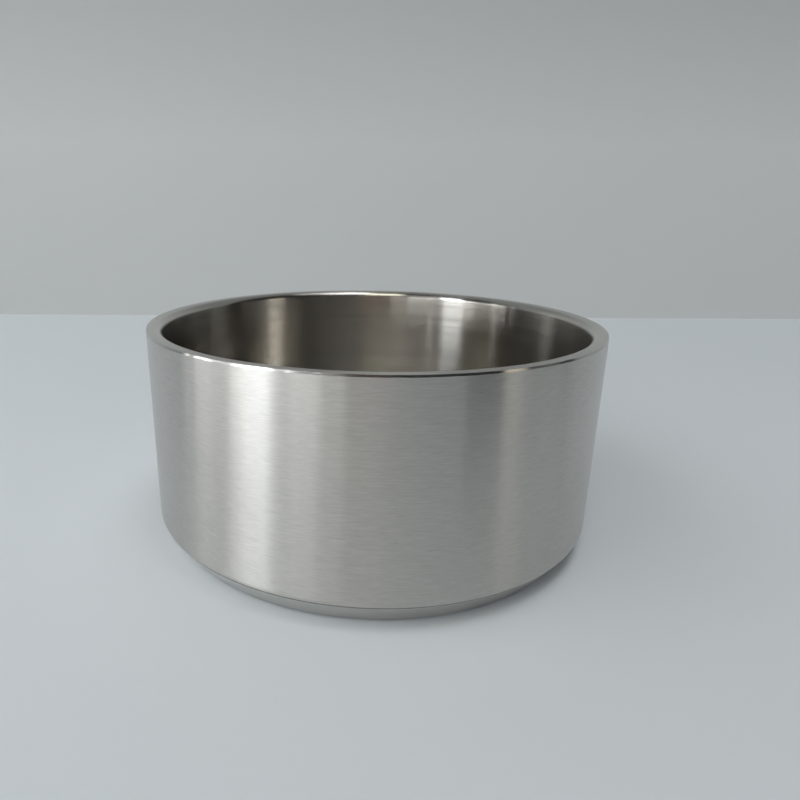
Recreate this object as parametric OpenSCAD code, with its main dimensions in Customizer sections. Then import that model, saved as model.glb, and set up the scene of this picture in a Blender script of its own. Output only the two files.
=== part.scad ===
// Double-wall steel shaving bowl.
// It stands on z = 0 with its axis on Z. The origin is the centre of the circle it stands on.
// Every piece is a profile in (radius, height) turned about the axis.

/* [Overall] */
// Outside diameter of the bowl
bowl_d = 110; // [90:1:140]
// Height from the table to the top of the rim
bowl_h = 52; // [42:1:75]

/* [Sheet steel] */
// Thickness of the outer wall and the base cup
shell_sheet = 0.5; // [0.4:0.05:0.8]
// Thickness of the inner bowl
liner_sheet = 0.5; // [0.4:0.05:0.8]
// Insulating gap between the two side walls
wall_gap = 2.6; // [2:0.1:4]
// Insulating gap between the base plate and the floor of the inner bowl
floor_gap = 4.6; // [3:0.1:8]

/* [Inner bowl] */
// Radius of the corner between the inside wall and the inside floor
floor_corner_r = 14; // [6:0.5:22]
// Radius of the rolled edge between the inside wall and the flat rim
rim_roll_r = 1.7; // [1.2:0.1:2]

/* [Rim weld] */
// Height of the polished bevel round the outside of the rim
rim_bevel_h = 0.45; // [0.3:0.05:0.8]
// How far the bevel leans in at its top
rim_bevel_in = 0.12; // [0.05:0.01:0.2]
// How deep the weld reaches into the joint
rim_weld_depth = 0.3; // [0.2:0.02:0.38]

/* [Base] */
// Height of the crease, where the outer wall meets the base cup
crease_h = 5.7; // [4:0.1:8]
// Angle of the sloping band from the vertical, in degrees
band_angle = 36; // [25:1:45]
// Outside radius of the turned-in lower edge of the outer wall
wall_turn_r = 1.8; // [1:0.1:3]
// Outside radius of the bends in the foot ring
foot_bend_r = 0.9; // [0.85:0.05:1.2]
// Width of the flat ring that touches the table
foot_land = 2; // [1:0.1:4]
// Height of the recessed underside above the table
recess_h = 1.5; // [1.25:0.05:2.5]
// Slope of the recess wall from the horizontal, in degrees
recess_angle = 45; // [30:1:60]

/* [Base weld] */
// Width of the base weld along the outer surface
base_weld_w = 0.5; // [0.3:0.05:0.8]
// Depth of the base weld into the sheet
base_weld_depth = 0.35; // [0.2:0.01:0.38]

/* [Vent plug] */
// Diameter of the vent hole in the middle of the base cup
vent_d = 2; // [1.5:0.1:3]
// Radial clearance between the plug's shank and the vent hole
vent_clear = 0.05; // [0.02:0.01:0.1]
// Diameter of the plug's head under the base cup
plug_head_d = 5; // [4:0.1:7]
// Thickness of the plug's head
plug_head_h = 0.6; // [0.4:0.05:0.8]
// Diameter of the plug's spread tail above the base cup
plug_tail_d = 3.2; // [3.2:0.1:4.5]
// Thickness of the plug's spread tail
plug_tail_h = 0.6; // [0.4:0.1:1]

/* [Hidden] */
$fn = 180;

// Straight steps in a small bend and in the large floor corner
bend_steps = 6;
corner_steps = 16;

bowl_r = bowl_d / 2;
vent_r = vent_d / 2;

// Directions along the sloping band, downwards, and straight out of it
band_dir = [-sin(band_angle), -cos(band_angle)];
band_out = [cos(band_angle), -sin(band_angle)];

// Inner bowl: radius of its cavity, its floor, and the centres of its two bends
cavity_r = bowl_r - shell_sheet - wall_gap - liner_sheet;
floor_z = recess_h + shell_sheet + floor_gap + liner_sheet;
floor_bend = [cavity_r - floor_corner_r, floor_z + floor_corner_r];
rim_bend = [cavity_r + rim_roll_r, bowl_h - rim_roll_r];

// Rim weld: its root, and the two edges of its polished face
rim_root = [bowl_r - rim_weld_depth, bowl_h - liner_sheet];
rim_low = [bowl_r, bowl_h - rim_bevel_h];
rim_high = [bowl_r - rim_bevel_in, bowl_h];

// Turned-in edge of the outer wall, which ends at the crease in line with the band
wall_bend = [bowl_r - wall_turn_r, crease_h + wall_turn_r * sin(band_angle)];
crease = wall_bend + wall_turn_r * band_out;
crease_inside = crease - shell_sheet * band_out;

// Base weld: the angle of the bend that it takes up, its root, and its two edges
weld_angle = base_weld_w / 2 / wall_turn_r * 180 / PI;
base_root = crease - base_weld_depth * band_out;
base_high = on_arc(wall_bend, wall_turn_r, weld_angle - band_angle);
base_low = crease + base_weld_w / 2 * band_dir;

// Foot ring: length of the band down to the first bend, and the bends' centres
band_run = (crease[1] - foot_bend_r - foot_bend_r * band_out[1]) / cos(band_angle);
foot_out = crease + band_run * band_dir - foot_bend_r * band_out;
foot_in = foot_out - [foot_land, 0];
recess_run = (recess_h - 2 * foot_bend_r * (1 - cos(recess_angle))) / sin(recess_angle);
recess_step = 2 * foot_bend_r * sin(recess_angle) + recess_run * cos(recess_angle);
plate_bend = [foot_in[0] - recess_step, recess_h - foot_bend_r];

// Point at an angle on a circle, with 0 outwards and 90 upwards
function on_arc(centre, r, angle) = centre + r * [cos(angle), sin(angle)];

// Points along an arc from one angle to another
function arc(centre, r, from, to, steps = bend_steps) =
    [for (i = [0:steps]) on_arc(centre, r, from + (to - from) * i / steps)];

// Turns a closed outline in (radius, height) about the axis
module turned(outline) {
    rotate_extrude() polygon(outline);
}

// Drawn liner: floor, corner, side wall, rolled edge and the flat flange of the rim
module inner_bowl() {
    color([0.62, 0.61, 0.58])
        turned(concat(
            [[0, floor_z]],
            arc(floor_bend, floor_corner_r, -90, 0, corner_steps),
            arc(rim_bend, rim_roll_r, 180, 90),
            [rim_high, rim_root],
            arc(rim_bend, rim_roll_r - liner_sheet, 90, 180),
            arc(floor_bend, floor_corner_r + liner_sheet, 0, -90, corner_steps),
            [[0, floor_z - liner_sheet]]
        ));
}

// Brushed outer shell: straight tube with its lower edge turned in to the crease
module outer_wall() {
    color([0.74, 0.74, 0.73])
        turned(concat(
            [rim_low, rim_root, [bowl_r - shell_sheet, rim_root[1]]],
            arc(wall_bend, wall_turn_r - shell_sheet, 0, -band_angle),
            [base_root],
            arc(wall_bend, wall_turn_r, weld_angle - band_angle, 0)
        ));
}

// Pressed bottom: sloping band, foot ring, recess wall and the plate with its vent hole
module base_cup() {
    color([0.66, 0.66, 0.64])
        turned(concat(
            [crease_inside, base_root, base_low],
            arc(foot_out, foot_bend_r, -band_angle, -90),
            arc(foot_in, foot_bend_r, -90, -90 - recess_angle),
            arc(plate_bend, foot_bend_r, 90 - recess_angle, 90),
            [[vent_r, recess_h], [vent_r, recess_h + shell_sheet]],
            arc(plate_bend, foot_bend_r + shell_sheet, 90, 90 - recess_angle),
            arc(foot_in, foot_bend_r - shell_sheet, -90 - recess_angle, -90),
            arc(foot_out, foot_bend_r - shell_sheet, -90, -band_angle)
        ));
}

// Ground and polished bead along the outer corner of the rim
module rim_weld() {
    color([0.85, 0.85, 0.84])
        turned([rim_root, rim_low, rim_high]);
}

// Flush ground bead in the crease between the outer wall and the base cup
module base_weld() {
    color([0.55, 0.55, 0.53])
        turned([base_root, base_low, crease, base_high]);
}

// Blind plug: head in the recess, shank through the vent hole, tail spread above the plate
module vent_plug() {
    shank_r = vent_r - vent_clear;
    plate_top = recess_h + shell_sheet;
    color([0.5, 0.5, 0.48])
        turned([
            [0, recess_h - plug_head_h],
            [plug_head_d / 2, recess_h - plug_head_h],
            [plug_head_d / 2, recess_h],
            [shank_r, recess_h],
            [shank_r, plate_top],
            [plug_tail_d / 2, plate_top],
            [plug_tail_d / 2, plate_top + plug_tail_h],
            [0, plate_top + plug_tail_h]
        ]);
}

inner_bowl();
outer_wall();
base_cup();
rim_weld();
base_weld();
vent_plug();
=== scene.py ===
import math

import bpy
import numpy as np
from mathutils import Matrix, Vector


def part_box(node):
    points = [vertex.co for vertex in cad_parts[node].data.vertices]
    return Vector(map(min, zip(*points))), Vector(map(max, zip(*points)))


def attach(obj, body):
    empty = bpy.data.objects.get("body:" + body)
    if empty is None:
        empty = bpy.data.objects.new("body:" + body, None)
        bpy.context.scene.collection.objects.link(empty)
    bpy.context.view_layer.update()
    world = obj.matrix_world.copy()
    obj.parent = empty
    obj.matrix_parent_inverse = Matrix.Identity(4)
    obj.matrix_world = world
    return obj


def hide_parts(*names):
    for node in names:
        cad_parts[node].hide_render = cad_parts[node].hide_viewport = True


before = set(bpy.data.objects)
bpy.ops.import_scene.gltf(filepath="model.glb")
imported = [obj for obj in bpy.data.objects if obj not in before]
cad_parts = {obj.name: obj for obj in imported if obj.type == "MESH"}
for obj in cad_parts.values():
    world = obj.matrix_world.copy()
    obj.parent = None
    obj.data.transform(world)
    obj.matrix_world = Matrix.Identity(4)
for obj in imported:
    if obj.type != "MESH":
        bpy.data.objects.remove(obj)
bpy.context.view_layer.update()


# ---- Outer wall ----
# A tube of thin stainless sheet, rounded, planished and then brushed level all the way round.
# Its lower edge is turned in to meet the base cup, and its top edge carries the rim.
MM = 0.001
TURNS = 640
bowl_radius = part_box("outer_wall")[1].x
rim_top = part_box("inner_bowl")[1].z
shell_sheet = 0.5 * MM
liner_sheet = 0.5 * MM
bevel_height = 0.45 * MM
bevel_lean = 0.12 * MM
rim_weld_depth = 0.3 * MM
band_angle = math.radians(36)
turn_radius = 1.8 * MM
crease_height = 5.7 * MM
base_weld_width = 0.5 * MM
base_weld_depth = 0.35 * MM
wall_ripple = 0.006 * MM
seam_wave = 0.03 * MM

band_down = np.array([-math.sin(band_angle), -math.cos(band_angle)])
band_out = np.array([math.cos(band_angle), -math.sin(band_angle)])
rim_root = np.array([bowl_radius - rim_weld_depth, rim_top - liner_sheet])
rim_low = np.array([bowl_radius, rim_top - bevel_height])
rim_high = np.array([bowl_radius - bevel_lean, rim_top])
wall_turn = np.array([bowl_radius - turn_radius, crease_height + turn_radius * math.sin(band_angle)])
crease = wall_turn + turn_radius * band_out
base_root = crease - base_weld_depth * band_out
weld_turn = base_weld_width / 2 / turn_radius


def bend(centre, radius, start, end, points=16):
    """Arc in (radius, height): centre + radius * (cos a, sin a), with a from start to end."""
    a = np.linspace(start, end, points)
    return np.column_stack([centre[0] + radius * np.cos(a), centre[1] + radius * np.sin(a)])


def straight(start, end, points):
    """Evenly spaced points from start to end, both included."""
    t = np.linspace(0, 1, points)[:, None]
    return np.asarray(start) * (1 - t) + np.asarray(end) * t


def outline(*stretches):
    """Stretches joined end to end, without the points that repeat the one before."""
    joined = np.vstack([np.atleast_2d(s) for s in stretches])
    apart = np.hypot(*np.diff(joined, axis=0).T) > 1e-9
    return joined[np.concatenate([[True], apart])]


def ring_angles():
    """Angles round the axis of one ring's vertices, from +X towards +Y."""
    return np.arange(TURNS) * 2 * np.pi / TURNS


def seam_height(a):
    """Rise and fall of a hand-ground seam: five sine waves of unlike pitch, each a bit weaker."""
    pitches = ((23, 1.0, 0.4), (41, 0.8, 2.1), (67, 0.7, 4.4), (109, 0.5, 1.3), (173, 0.4, 3.2))
    return seam_wave * sum(size * np.sin(n * a + phase) for n, size, phase in pitches) / 2


def turned(name, shape, rise=None, swell=None):
    """
    Skin of a turned solid from an outline that runs down its outside and up its inside.
    Vertex (i, j) is (r cos a, r sin a, z) for outline point i at angle a = 2 pi j / TURNS.
    rise and swell are arrays (i, j) added to height and radius. An outline that starts and
    ends on the axis closes in two poles, and any other joins its last row to its first. The
    UV map is the turn, from 0 to 1, and the length along the outline in metres.
    """
    poles = shape[0, 0] < 1e-9
    ends = shape[[0, -1]]
    rings = shape[1:-1] if poles else shape
    rows = len(rings)
    a = ring_angles()[None, :]
    r = rings[:, :1] + (0 if swell is None else swell)
    z = rings[:, 1:] + (0 if rise is None else rise) + 0 * a
    points = np.stack([r * np.cos(a), r * np.sin(a), z], -1).reshape(-1, 3)
    steps = np.hypot(*np.diff(np.vstack([shape, shape[:1]]), axis=0).T)
    run = np.concatenate([[0], np.cumsum(steps)])
    run = run[1:] if poles else run
    i = np.arange(rows - 1 if poles else rows)[:, None]
    j = np.arange(TURNS)[None, :]
    around = ((0, 0), (1, 0), (1, 1), (0, 1))
    quads = np.stack([(i + di) % rows * TURNS + (j + dj) % TURNS for di, dj in around], -1)
    across = np.stack([(j + dj) / TURNS + 0 * i for di, dj in around], -1)
    along = np.stack([run[i + di] + 0 * j for di, dj in around], -1)
    faces = quads.reshape(-1, 4).tolist()
    uv = [np.stack([across, along], -1).reshape(-1, 2)]
    if poles:
        points = np.vstack([points, [[0, 0, ends[0, 1]], [0, 0, ends[1, 1]]]])
        j = j[0]
        beside = (j + 1) % TURNS
        last_row = (rows - 1) * TURNS
        first_pole = np.full(TURNS, rows * TURNS)
        last_pole = first_pole + 1
        faces += np.column_stack([first_pole, j, beside]).tolist()
        faces += np.column_stack([last_row + j, last_pole, last_row + beside]).tolist()
        left, middle, right = j / TURNS, (j + 0.5) / TURNS, (j + 1) / TURNS
        none = np.zeros(TURNS)
        first, before_tip, tip = none + run[0], none + run[rows - 1], none + run[rows]
        uv.append(np.stack([middle, none, left, first, right, first], -1).reshape(-1, 2))
        uv.append(np.stack([left, before_tip, middle, tip, right, before_tip], -1).reshape(-1, 2))
    mesh = bpy.data.meshes.new(name)
    mesh.from_pydata(points.tolist(), [], faces)
    turn_map = mesh.uv_layers.new(name="Turned")
    turn_map.data.foreach_set("uv", np.concatenate(uv).astype(np.float32).ravel())
    mesh.polygons.foreach_set("use_smooth", np.ones(len(mesh.polygons), bool))
    mesh.set_sharp_from_angle(angle=math.radians(20))
    piece = bpy.data.objects.new(name, mesh)
    bpy.context.scene.collection.objects.link(piece)
    return piece


wall_shape = outline(
    straight(rim_low, (bowl_radius, wall_turn[1]), 60),
    bend(wall_turn, turn_radius, 0, weld_turn - band_angle),
    base_root,
    bend(wall_turn, turn_radius - shell_sheet, -band_angle, 0),
    straight((bowl_radius - shell_sheet, wall_turn[1]), (bowl_radius - shell_sheet, rim_root[1]), 60),
    rim_root,
)
a = ring_angles()
wave = np.zeros((len(wall_shape), TURNS))
wave[0] = seam_height(a)
height = wall_shape[:, 1:] / rim_top
# The tube isn't quite round: each pair is the swellings in a turn and their lean in radians.
swellings = ((2, 1), (3, 4), (5, -3), (9, 7), (14, -6))
ripple = sum(np.sin(n * a + lean * height + n) / (2 + n) for n, lean in swellings)
rim_stays_round = 0.98
swell = wall_ripple * ripple * (height < rim_stays_round)
outer_wall = turned("outer_wall_brushed", wall_shape, rise=wave, swell=swell)
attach(outer_wall, "root")
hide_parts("outer_wall")


def group(name, inputs, outputs):
    """Shader node group with value inputs and outputs: (tree, its input node, its output node)."""
    tree = bpy.data.node_groups.new(name, "ShaderNodeTree")
    for label, value in inputs.items():
        socket = tree.interface.new_socket(label, in_out="INPUT", socket_type="NodeSocketFloat")
        socket.default_value = value
    for label in outputs:
        tree.interface.new_socket(label, in_out="OUTPUT", socket_type="NodeSocketFloat")
    return tree, tree.nodes.new("NodeGroupInput"), tree.nodes.new("NodeGroupOutput")


def maths(tree, operation, *values, clamp=False):
    """Math node whose inputs are numbers or other nodes' sockets: its output socket."""
    node = tree.nodes.new("ShaderNodeMath")
    node.operation, node.use_clamp = operation, clamp
    for socket, value in zip(node.inputs, values):
        if isinstance(value, (int, float)):
            socket.default_value = value
        else:
            tree.links.new(value, socket)
    return node.outputs[0]


def noise(tree, vector, detail, roughness):
    """Three-dimensional noise read at a vector socket: its value socket, from 0 to 1."""
    node = tree.nodes.new("ShaderNodeTexNoise")
    node.inputs["Scale"].default_value = 1
    node.inputs["Detail"].default_value = detail
    node.inputs["Roughness"].default_value = roughness
    tree.links.new(vector, node.inputs["Vector"])
    return node.outputs["Fac"]


def brush_lines():
    """
    Marks of a belt held against the turning bowl: noise that is stretched along the turn.
    It is read at (x * Along, y * Along, run * Across), where run is the length along the
    outline, so it has no seam. Lines is the fine grain and Bands the slower drift across it.
    """
    tree, given, out = group("brush_lines", {"Along": 90, "Across": 9000}, ("Lines", "Bands"))
    where = tree.nodes.new("ShaderNodeTexCoord")
    place = tree.nodes.new("ShaderNodeSeparateXYZ")
    tree.links.new(where.outputs["Object"], place.inputs[0])
    turn_map = tree.nodes.new("ShaderNodeUVMap")
    turn_map.uv_map = "Turned"
    uv = tree.nodes.new("ShaderNodeSeparateXYZ")
    tree.links.new(turn_map.outputs[0], uv.inputs[0])
    for label, slower in (("Lines", 1.0), ("Bands", 0.12)):
        stretched = tree.nodes.new("ShaderNodeCombineXYZ")
        along = maths(tree, "MULTIPLY", given.outputs["Along"], slower)
        across = maths(tree, "MULTIPLY", given.outputs["Across"], slower)
        tree.links.new(maths(tree, "MULTIPLY", place.outputs["X"], along), stretched.inputs[0])
        tree.links.new(maths(tree, "MULTIPLY", place.outputs["Y"], along), stretched.inputs[1])
        tree.links.new(maths(tree, "MULTIPLY", uv.outputs["Y"], across), stretched.inputs[2])
        tree.links.new(noise(tree, stretched.outputs[0], 3, 0.65), out.inputs[label])
    return tree


def clouding():
    """
    Soft patches left by polish and wiping: noise on the piece's own coordinates, Size patches
    to the metre, pushed apart so that most of the surface is clear.
    """
    tree, given, out = group("clouding", {"Size": 60}, ("Patches",))
    where = tree.nodes.new("ShaderNodeTexCoord")
    scaled = tree.nodes.new("ShaderNodeVectorMath")
    scaled.operation = "SCALE"
    tree.links.new(where.outputs["Object"], scaled.inputs[0])
    tree.links.new(given.outputs["Size"], scaled.inputs["Scale"])
    soft = noise(tree, scaled.outputs[0], 4, 0.55)
    tree.links.new(maths(tree, "MULTIPLY_ADD", soft, 2.2, -0.6, clamp=True), out.inputs["Patches"])
    return tree


BRUSH_LINES, CLOUDING = brush_lines(), clouding()


def steel(name, anisotropy):
    """Bare steel with its brush marks round the axis: (material, tree, Principled node)."""
    material = bpy.data.materials.new(name)
    material.use_nodes = True
    tree = material.node_tree
    shader = tree.nodes["Principled BSDF"]
    shader.inputs["Metallic"].default_value = 1
    shader.inputs["Anisotropic"].default_value = anisotropy
    shader.inputs["Anisotropic Rotation"].default_value = 0.25
    round_axis = tree.nodes.new("ShaderNodeTangent")
    round_axis.direction_type, round_axis.axis = "RADIAL", "Z"
    tree.links.new(round_axis.outputs[0], shader.inputs["Tangent"])
    return material, tree, shader


def placed(tree, node_group, **values):
    """A node group placed in a material with its own input values."""
    node = tree.nodes.new("ShaderNodeGroup")
    node.node_tree = node_group
    for label, value in values.items():
        node.inputs[label].default_value = value
    return node


def grained(tree, shader, lines, dark, light, smooth, rough, depth):
    """
    Lets a value from 0 to 1 drive the colour from dark to light, the roughness from smooth to
    rough, and a bump as high as depth, in metres.
    """
    mix = tree.nodes.new("ShaderNodeMix")
    mix.data_type = "RGBA"
    mix.inputs["A"].default_value, mix.inputs["B"].default_value = (*dark, 1), (*light, 1)
    tree.links.new(lines, mix.inputs["Factor"])
    tree.links.new(mix.outputs["Result"], shader.inputs["Base Color"])
    tree.links.new(maths(tree, "MULTIPLY_ADD", lines, rough - smooth, smooth), shader.inputs["Roughness"])
    bump = tree.nodes.new("ShaderNodeBump")
    bump.inputs["Strength"].default_value = 1
    bump.inputs["Distance"].default_value = depth
    tree.links.new(lines, bump.inputs["Height"])
    tree.links.new(bump.outputs[0], shader.inputs["Normal"])


material, tree, shader = steel("brushed_wall", 1.0)
marks = placed(tree, BRUSH_LINES, Along=340, Across=5200)
smudges = placed(tree, CLOUDING, Size=45)
worn = maths(tree, "MULTIPLY_ADD", smudges.outputs["Patches"], -0.12, marks.outputs["Lines"])
dark, light = (0.47, 0.455, 0.43), (0.74, 0.72, 0.69)
grained(tree, shader, worn, dark, light, smooth=0.26, rough=0.33, depth=0.003 * MM)
outer_wall.data.materials.append(material)


# ---- Inner bowl ----
# A deep-drawn liner with a generous corner round its floor. Its top edge is rolled outwards
# into the flat flange of the rim. It is finished with finer abrasive than the outside.
wall_gap = 2.6 * MM
floor_radius = 14 * MM
roll_radius = 1.7 * MM
floor_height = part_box("inner_bowl")[0].z + liner_sheet
cavity_radius = bowl_radius - shell_sheet - wall_gap - liner_sheet
floor_bend = (cavity_radius - floor_radius, floor_height + floor_radius)
rim_bend = (cavity_radius + roll_radius, rim_top - roll_radius)
liner_shape = outline(
    straight((0, floor_height), (floor_bend[0], floor_height), 24),
    bend(floor_bend, floor_radius, -math.pi / 2, 0, 30),
    straight((cavity_radius, floor_bend[1]), (cavity_radius, rim_bend[1]), 16),
    bend(rim_bend, roll_radius, math.pi, math.pi / 2, 20),
    rim_high,
    rim_root,
    bend(rim_bend, roll_radius - liner_sheet, math.pi / 2, math.pi, 12),
    bend(floor_bend, floor_radius + liner_sheet, 0, -math.pi / 2, 24),
    straight((floor_bend[0], floor_height - liner_sheet), (0, floor_height - liner_sheet), 4),
)
inner_bowl = turned("inner_bowl_liner", liner_shape)
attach(inner_bowl, "root")
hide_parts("inner_bowl")

material, tree, shader = steel("satin_liner", 1.0)
marks = placed(tree, BRUSH_LINES, Along=25, Across=2600)
swept = maths(tree, "ADD", marks.outputs["Lines"], marks.outputs["Bands"])
swept = maths(tree, "MULTIPLY", swept, 0.5)
dark, light = (0.36, 0.34, 0.31), (0.72, 0.70, 0.66)
grained(tree, shader, swept, dark, light, smooth=0.19, rough=0.26, depth=0.004 * MM)
inner_bowl.data.materials.append(material)


# ---- Base cup ----
# The pressed bottom: a smooth band that slopes in to the foot ring, and a recessed plate with
# the vent hole in its middle. It is left as rolled sheet, a little smoother than the wall.
foot_radius = 0.9 * MM
foot_land = 2 * MM
recess_height = 1.5 * MM
recess_angle = math.radians(45)
vent_radius = 1 * MM
base_low = crease + base_weld_width / 2 * band_down
band_run = (crease[1] - foot_radius - foot_radius * band_out[1]) / math.cos(band_angle)
foot_out = crease + band_run * band_down - foot_radius * band_out
foot_in = foot_out - [foot_land, 0]
recess_run = (recess_height - 2 * foot_radius * (1 - math.cos(recess_angle))) / math.sin(recess_angle)
recess_step = 2 * foot_radius * math.sin(recess_angle) + recess_run * math.cos(recess_angle)
plate_bend = (foot_in[0] - recess_step, recess_height - foot_radius)
plate_top = recess_height + shell_sheet
down, up = -math.pi / 2, math.pi / 2
base_shape = outline(
    straight(base_low, foot_out + foot_radius * band_out, 12),
    bend(foot_out, foot_radius, -band_angle, down),
    bend(foot_in, foot_radius, down, down - recess_angle),
    bend(plate_bend, foot_radius, up - recess_angle, up),
    straight((plate_bend[0], recess_height), (vent_radius, recess_height), 20),
    straight((vent_radius, plate_top), (plate_bend[0], plate_top), 4),
    bend(plate_bend, foot_radius + shell_sheet, up, up - recess_angle),
    bend(foot_in, foot_radius - shell_sheet, down - recess_angle, down),
    bend(foot_out, foot_radius - shell_sheet, down, -band_angle),
    crease - shell_sheet * band_out,
    base_root,
)
base_cup = turned("base_cup_pressed", base_shape)
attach(base_cup, "root")
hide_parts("base_cup")

material, tree, shader = steel("smooth_base", 0.5)
marks = placed(tree, BRUSH_LINES, Along=120, Across=3000)
lines = marks.outputs["Lines"]
dark, light = (0.50, 0.49, 0.465), (0.68, 0.67, 0.64)
grained(tree, shader, lines, dark, light, smooth=0.2, rough=0.28, depth=0.002 * MM)
base_cup.data.materials.append(material)


# ---- Rim weld ----
# The bead that joins the flange to the wall's top edge. It is ground to a narrow bevel and
# polished by hand, which leaves its lower edge a little wavy.
bevel_rings = 8
rim_shape = outline(straight(rim_high, rim_low, bevel_rings), rim_root)
wave = np.linspace(0, 1, bevel_rings)[:, None] * seam_height(a)
rim_weld = turned("rim_weld_bead", rim_shape, rise=np.vstack([wave, 0 * wave[:1]]))
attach(rim_weld, "root")
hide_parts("rim_weld")

material, tree, shader = steel("polished_weld", 0.9)
marks = placed(tree, BRUSH_LINES, Along=300, Across=4000)
lines = marks.outputs["Lines"]
dark, light = (0.40, 0.39, 0.375), (0.62, 0.61, 0.59)
grained(tree, shader, lines, dark, light, smooth=0.16, rough=0.24, depth=0.003 * MM)
rim_weld.data.materials.append(material)


# ---- Base weld ----
# The seam between wall and base cup, ground flush. The grinding leaves it a hair low, and its steel is
# painted near-black as painted shade, which draws the fine dark line of the crease.
weld_sink = 0.1 * MM
weld_start = weld_turn - band_angle
base_high = wall_turn + turn_radius * np.array([math.cos(weld_start), math.sin(weld_start)])
groove = crease - weld_sink * band_out
weld_shape = outline(straight(base_high, groove, 4), straight(groove, base_low, 4), base_root)
base_weld = turned("base_weld_bead", weld_shape)
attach(base_weld, "root")
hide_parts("base_weld")

material, tree, shader = steel("crease_painted_shade", 0.3)
marks = placed(tree, BRUSH_LINES, Along=300, Across=4000)
lines = marks.outputs["Lines"]
# Near-black steel is painted shade for the crease's groove, not the weld's own colour.
dark, light = (0.10, 0.095, 0.09), (0.42, 0.41, 0.39)
grained(tree, shader, lines, dark, light, smooth=0.3, rough=0.42, depth=0.002 * MM)
base_weld.data.materials.append(material)


# ---- Vent plug ----
# The stopper that seals the space between the walls: a turned head in the recess, a shank
# through the plate, and a tail that is spread above it.
plug_head = 2.5 * MM
plug_tail = 1.6 * MM
plug_shank = 0.95 * MM
head_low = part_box("vent_plug")[0].z
tail_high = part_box("vent_plug")[1].z
head_round = 0.2 * MM
plug_shape = outline(
    (0, tail_high),
    bend((plug_tail - head_round, tail_high - head_round), head_round, up, 0, 6),
    (plug_tail, plate_top),
    (plug_shank, plate_top),
    (plug_shank, recess_height),
    (plug_head, recess_height),
    bend((plug_head - head_round, head_low + head_round), head_round, 0, down, 6),
    (0, head_low),
)
vent_plug = turned("vent_plug_turned", plug_shape)
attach(vent_plug, "root")
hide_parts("vent_plug")

material, tree, shader = steel("turned_plug", 0.5)
marks = placed(tree, BRUSH_LINES, Along=60, Across=6000)
lines = marks.outputs["Lines"]
dark, light = (0.42, 0.41, 0.39), (0.56, 0.55, 0.53)
grained(tree, shader, lines, dark, light, smooth=0.25, rough=0.35, depth=0.004 * MM)
vent_plug.data.materials.append(material)


# ---- Studio ----
# A matt sheet is the table and, past a small cove, the wall behind: cool white, then grey, and
# painted darker higher up as painted shade. The metal also mirrors glowing panels and a black cloth,
# which the camera doesn't see. Two lamps and the high panels light the sheet.
sheet_half = 2.0
wall_behind = 0.306
wall_height = 1.2
cove = 1 * MM
shade_from = 0.12
shade_rate = 6
sheet_shape = outline(
    (-sheet_half, 0),
    bend((wall_behind - cove, cove), cove, -math.pi / 2, 0, 12),
    (wall_behind, wall_height),
)
rows = len(sheet_shape)
sheet_points = [(x, y, z) for y, z in sheet_shape.tolist() for x in (-sheet_half, sheet_half)]
sheet_mesh = bpy.data.meshes.new("studio_sheet")
strips = [(2 * i, 2 * i + 1, 2 * i + 3, 2 * i + 2) for i in range(rows - 1)]
sheet_mesh.from_pydata(sheet_points, [], strips)
studio_sheet = bpy.data.objects.new("studio_sheet", sheet_mesh)
bpy.context.scene.collection.objects.link(studio_sheet)

paint = bpy.data.materials.new("studio_paint")
paint.use_nodes = True
tree = paint.node_tree
shader = tree.nodes["Principled BSDF"]
shader.inputs["Roughness"].default_value = 1
shader.inputs["Specular IOR Level"].default_value = 0
where = tree.nodes.new("ShaderNodeTexCoord")
place = tree.nodes.new("ShaderNodeSeparateXYZ")
tree.links.new(where.outputs["Object"], place.inputs[0])
tone = tree.nodes.new("ShaderNodeMix")
tone.data_type = "RGBA"
tone.inputs["A"].default_value = (0.705, 0.755, 0.80, 1)
tone.inputs["B"].default_value = (0.60, 0.62, 0.625, 1)
tree.links.new(maths(tree, "DIVIDE", place.outputs["Z"], cove, clamp=True), tone.inputs["Factor"])
# Painted shade: above shade_from the paint turns darker, standing in for less light high on the wall.
shade = tree.nodes.new("ShaderNodeMix")
shade.data_type = "RGBA"
shade.inputs["B"].default_value = (0.36, 0.375, 0.38, 1)
shade_start = -shade_from * shade_rate
height = maths(tree, "MULTIPLY_ADD", place.outputs["Z"], shade_rate, shade_start, clamp=True)
tree.links.new(height, shade.inputs["Factor"])
tree.links.new(tone.outputs["Result"], shade.inputs["A"])
tree.links.new(shade.outputs["Result"], shader.inputs["Base Color"])
sheet_mesh.materials.append(paint)


def panel(name, start, end, low, high, reach):
    """
    Curved panel round the bowl, unseen by the camera: points at reach from the bowl's foot in
    the direction (cos e sin a, -cos e cos a, sin e), with a from start to end in degrees from
    the front towards the right, and e from low to high in degrees above the table.
    """
    columns, rows = 13, 5
    sideways, upward = np.linspace(start, end, columns), np.linspace(low, high, rows)
    a, e = np.meshgrid(np.radians(sideways), np.radians(upward))
    points = reach * np.stack([np.cos(e) * np.sin(a), -np.cos(e) * np.cos(a), np.sin(e)], -1)
    i, j = np.meshgrid(np.arange(rows - 1), np.arange(columns - 1), indexing="ij")
    corners = [(i + di) * columns + j + dj for di, dj in ((0, 0), (0, 1), (1, 1), (1, 0))]
    faces = np.stack(corners, -1).reshape(-1, 4)
    mesh = bpy.data.meshes.new(name)
    mesh.from_pydata(points.reshape(-1, 3).tolist(), [], faces.tolist())
    sheet = bpy.data.objects.new(name, mesh)
    sheet.visible_camera = False
    bpy.context.scene.collection.objects.link(sheet)
    return sheet


box_reach = 2.5
lights_table_above = 30


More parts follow.
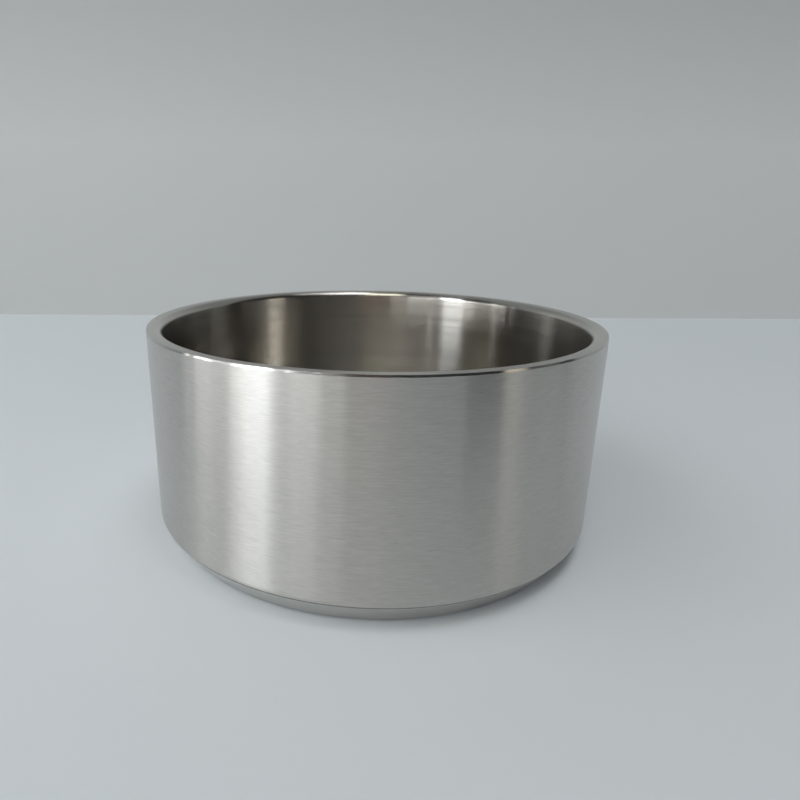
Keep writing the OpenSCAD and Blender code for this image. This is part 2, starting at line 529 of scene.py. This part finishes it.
def soft_box(name, start, end, low, high, strength, colour=(1, 1, 1)):
    """
    Evenly glowing panel, far enough off to light the whole bowl alike. A low one shows in
    the metal only, because it would burn out the table's edge.
    """
    glow = bpy.data.materials.new(name)
    glow.use_nodes = True
    shader = glow.node_tree.nodes["Principled BSDF"]
    shader.inputs["Base Color"].default_value = (0, 0, 0, 1)
    shader.inputs["Emission Color"].default_value = (*colour, 1)
    shader.inputs["Emission Strength"].default_value = strength
    box = panel(name, start, end, low, high, box_reach)
    box.visible_diffuse = low > lights_table_above
    box.data.materials.append(glow)


# A window on the left, low down, with a pane and two glints above it.
soft_box("window_far_left", -118, -96, 0, 8, 3.7)
soft_box("window_bar", -92.5, -88.5, 0, 8, 6)
soft_box("window_left", -88, -70, 0, 8, 4.1)
soft_box("window_core", -70, -60, 0, 8, 9.5)
soft_box("window_gap", -60, -42, 0, 8, 3.6)
soft_box("window_right", -40, -26, 0, 8, 5.4)
soft_box("window_far_right", -26, -15, 0, 8, 2.4, (1, 0.97, 0.92))
soft_box("window_top", -63, -50, 8, 34, 8.5, (0.93, 0.97, 1))
soft_box("glint_left", -87, -84, 8, 20, 4)
soft_box("glint_right", -43, -40, 8, 20, 4)
# Weak light from the front and the right, warm in places.
soft_box("warm_patch", -14, 6, 0, 8, 0.3, (1, 0.4, 0.3))
soft_box("side_right", 56, 88, 0, 8, 0.25)
soft_box("warm_strip", 56, 68, 8, 20, 1.4, (1, 0.88, 0.7))
# High lights, which the bowl mirrors and which also light the table.
soft_box("high_left", -57, -30, 34, 50, 0.9)
soft_box("high_front", -30, 4, 50, 68, 4.7, (1, 0.98, 0.86))
soft_box("overhead", 8, 60, 68, 89, 6.3)
soft_box("overhead_right", 60, 150, 68, 89, 1.6)

cloth = bpy.data.materials.new("black_cloth")
cloth.use_nodes = True
cloth.node_tree.nodes["Principled BSDF"].inputs["Base Color"].default_value = (0.02, 0.02, 0.02, 1)
cloth_reach = 0.22
flag = panel("flag", 33, 49, 1, 35, cloth_reach)
flag.visible_diffuse = flag.visible_shadow = False
flag.data.materials.append(cloth)


def lamp(name, kind, place, energy):
    """Lamp that stands at place and shines on the bowl's foot. The metal doesn't mirror it."""
    light = bpy.data.lights.new(name, kind)
    light.energy = energy
    stand = bpy.data.objects.new(name, light)
    turn = Vector(place).to_track_quat("Z", "Y").to_matrix().to_4x4()
    stand.matrix_world = Matrix.Translation(place) @ turn
    stand.visible_glossy = False
    bpy.context.scene.collection.objects.link(stand)
    return light


table_lamp = lamp("table_lamp", "POINT", (-0.36, -0.15, 0.45), 3)
table_lamp.shadow_soft_size = 0.2
wall_lamp = lamp("wall_lamp", "SUN", (-0.5, -0.9, 0.25), 1.6)
wall_lamp.angle = math.radians(60)

# The metal mirrors a dark room, and the camera sees grey past the sheet's edges.
world = bpy.data.worlds.new("studio")
world.use_nodes = True
tree = world.node_tree
ray = tree.nodes.new("ShaderNodeLightPath")
tone = tree.nodes.new("ShaderNodeMix")
tone.data_type = "RGBA"
tone.inputs["A"].default_value = (0.01, 0.01, 0.01, 1)
tone.inputs["B"].default_value = (0.27, 0.285, 0.29, 1)
tree.links.new(ray.outputs["Is Camera Ray"], tone.inputs["Factor"])
tree.links.new(tone.outputs["Result"], tree.nodes["Background"].inputs["Color"])
bpy.context.scene.world = world
bpy.context.scene.view_settings.view_transform = "Standard"


# ---- Camera ----
# A wide lens close to the bowl, a little to its left and above its rim. The lens is shifted
# because the bowl stands to one side of the picture's own middle.
camera_place = (-9.77 * MM, -156.54 * MM, 79.07 * MM)
look_down = math.radians(17.82)
roll = math.radians(0.35)
camera_data = bpy.data.cameras.new("camera")
camera_data.sensor_width = 36
camera_data.lens = 28.1
camera_data.shift_x = 0.083
camera_data.shift_y = 0.008
camera_data.clip_start = 0.01
camera = bpy.data.objects.new("camera", camera_data)
camera.matrix_world = (
    Matrix.Translation(camera_place)
    @ Matrix.Rotation(math.pi / 2 - look_down, 4, "X")
    @ Matrix.Rotation(roll, 4, "Z")
)
bpy.context.scene.collection.objects.link(camera)
bpy.context.scene.camera = camera
